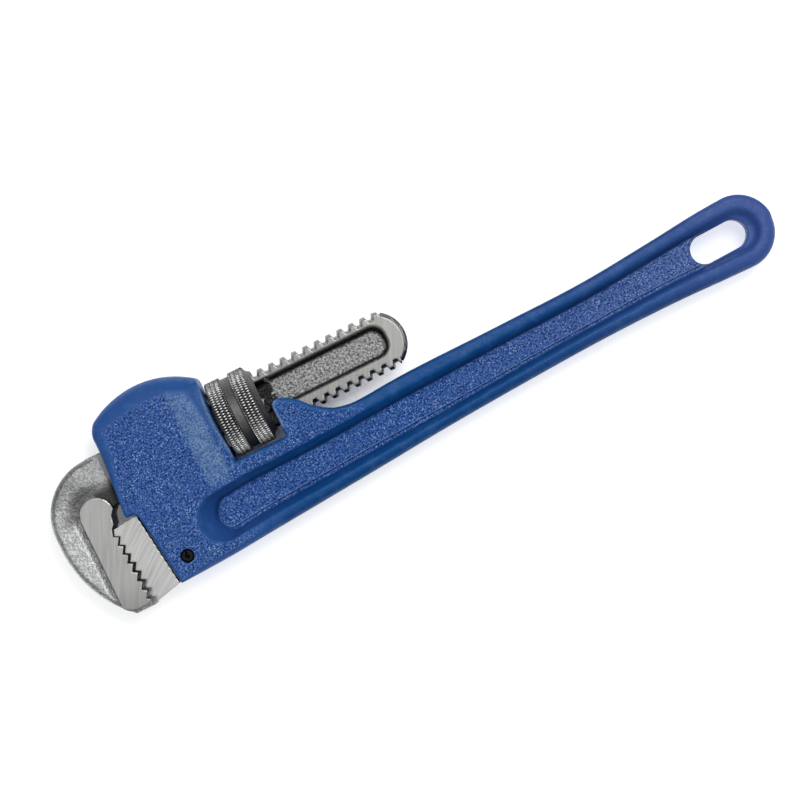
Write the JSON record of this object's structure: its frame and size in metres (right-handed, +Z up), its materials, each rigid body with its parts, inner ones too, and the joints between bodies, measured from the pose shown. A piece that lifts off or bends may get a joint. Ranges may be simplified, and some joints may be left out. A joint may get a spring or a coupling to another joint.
{
  "type": "pipe wrench",
  "caption": "Straight pipe wrench: I-beam handle with hollow head, toothed hook jaw on a threaded shank, heel jaw and knurled nut.",
  "frame": {"origin": "bottom centre of the closed tool's box as it lies on its side: the nut's rim touches the surface", "axes": "+X along the shank towards the handle's end, +Y towards the shank's back, +Z up through the tool's thickness"},
  "size_m": [0.3224, 0.0848, 0.033],
  "materials": {
    "blue_enamel": "blue enamel sprayed over the sand-cast skin, fine orange-peel texture",
    "forged_steel": "shot-blasted forging with milled flats",
    "ground_steel": "ground, with fine slanting grinding lines",
    "phosphate_steel": "dark phosphate with bright worn knurl tips",
    "spring_steel": "oiled spring steel"
  },
  "bodies": {
    "handle": {"handle_housing": "blue_enamel", "heel_jaw": "ground_steel", "heel_jaw_pin": "spring_steel", "coil_spring": "spring_steel"},
    "jaw_spring": {"flat_spring": "spring_steel"},
    "hook": {"hook_jaw": "forged_steel"},
    "nut": {"adjusting_nut": "phosphate_steel"}
  },
  "joints": [
    {"name": "jaw_rock", "type": "hinge", "parent": "handle", "child": "jaw_spring", "pos_m": [-0.12765, 0.02615, 0.0165], "axis": [0, 0, -1], "range_deg": [0, 1.5], "stiffness_Nm_per_rad": 25, "springref_deg": -1.72, "deforming": ["coil_spring"]},
    {"name": "jaw_slide", "type": "slide", "parent": "jaw_spring", "child": "hook", "axis": [-1, 0, 0], "range_m": [0, 0.05]},
    {"name": "nut_spin", "type": "hinge", "parent": "jaw_spring", "child": "nut", "pos_m": [-0.07065, 0.01325, 0.0165], "axis": [1, 0, 0], "range_deg": [0, 3429]}
  ],
  "couplings": [
    {"joint": "nut_spin", "follows": "jaw_slide", "rad_per_m": 1196.8}
  ]
}
